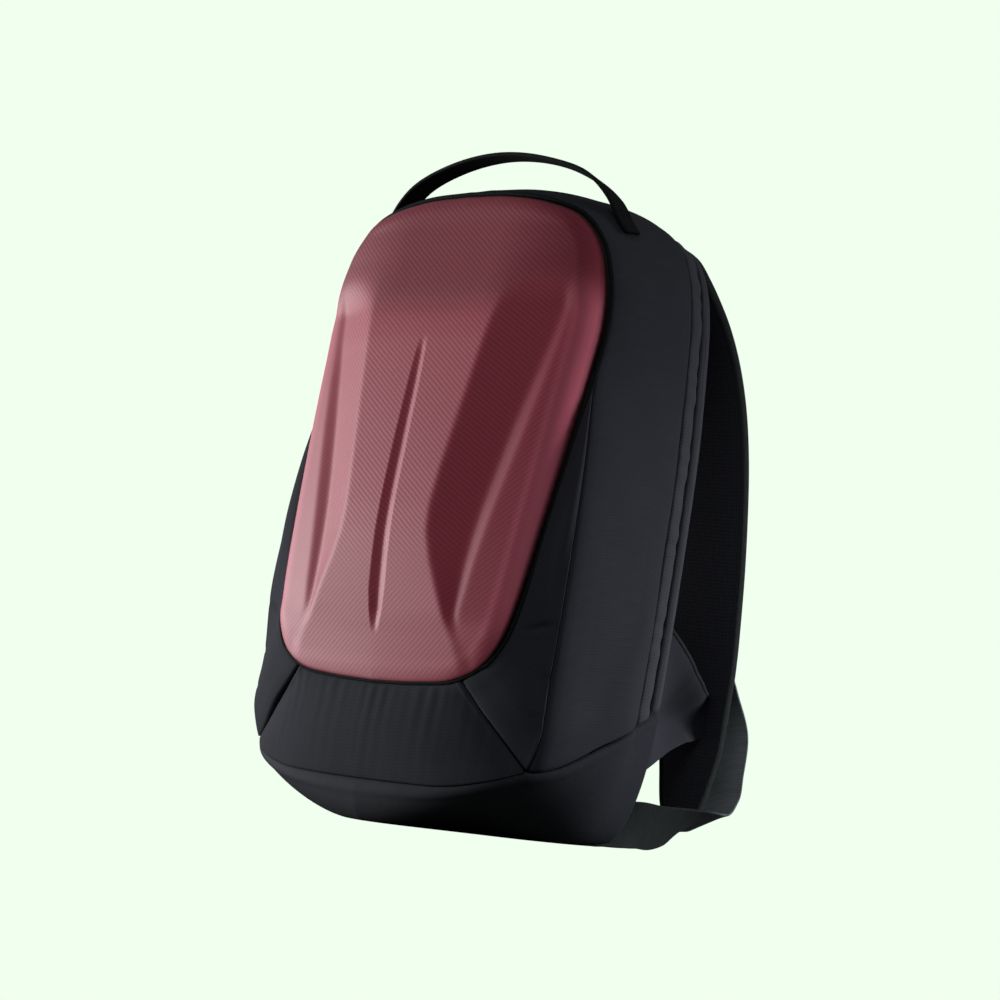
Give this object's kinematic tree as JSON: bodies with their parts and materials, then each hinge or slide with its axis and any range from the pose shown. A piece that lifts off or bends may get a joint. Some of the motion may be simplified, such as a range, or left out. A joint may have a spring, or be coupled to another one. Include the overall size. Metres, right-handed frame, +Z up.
{
  "type": "daypack with a moulded front shell",
  "caption": "Upright daypack with a moulded, grooved front shell, cloth sides, an arched zip at the back, a grab handle and padded shoulder straps.",
  "frame": {"origin": "on the flat underside of the base, in the middle of its width and below the middle of the body", "axes": "+X across the pack, to the wearer's right; +Y from the shell to the wearer's back; +Z up"},
  "size_m": [0.2818, 0.2895, 0.467],
  "materials": {
    "shell": "maroon twill bonded to a moulded shell, semi-matte",
    "cloth": "black fine-weave cloth with a faint sheen",
    "base": "black coated cloth, darker than the sides",
    "padding": "black cloth over foam, matte",
    "webbing": "black woven webbing",
    "zip": "black zip chain and slider"
  },
  "bodies": {
    "root": {"front_shell": "shell", "lower_front_panel": "cloth", "front_wedge_right": "cloth", "front_wedge_left": "cloth", "side_panel": "cloth", "zip_flap": "cloth", "zip_chain": "zip", "zip_slider": "zip", "rear_gusset": "cloth", "back_panel": "padding", "base_panel": "base", "grab_handle": "webbing", "shoulder_strap_right": "padding", "shoulder_strap_left": "padding", "strap_webbing_right": "webbing", "strap_webbing_left": "webbing", "strap_wing_right": "cloth", "strap_wing_left": "cloth"}
  },
  "joints": []
}
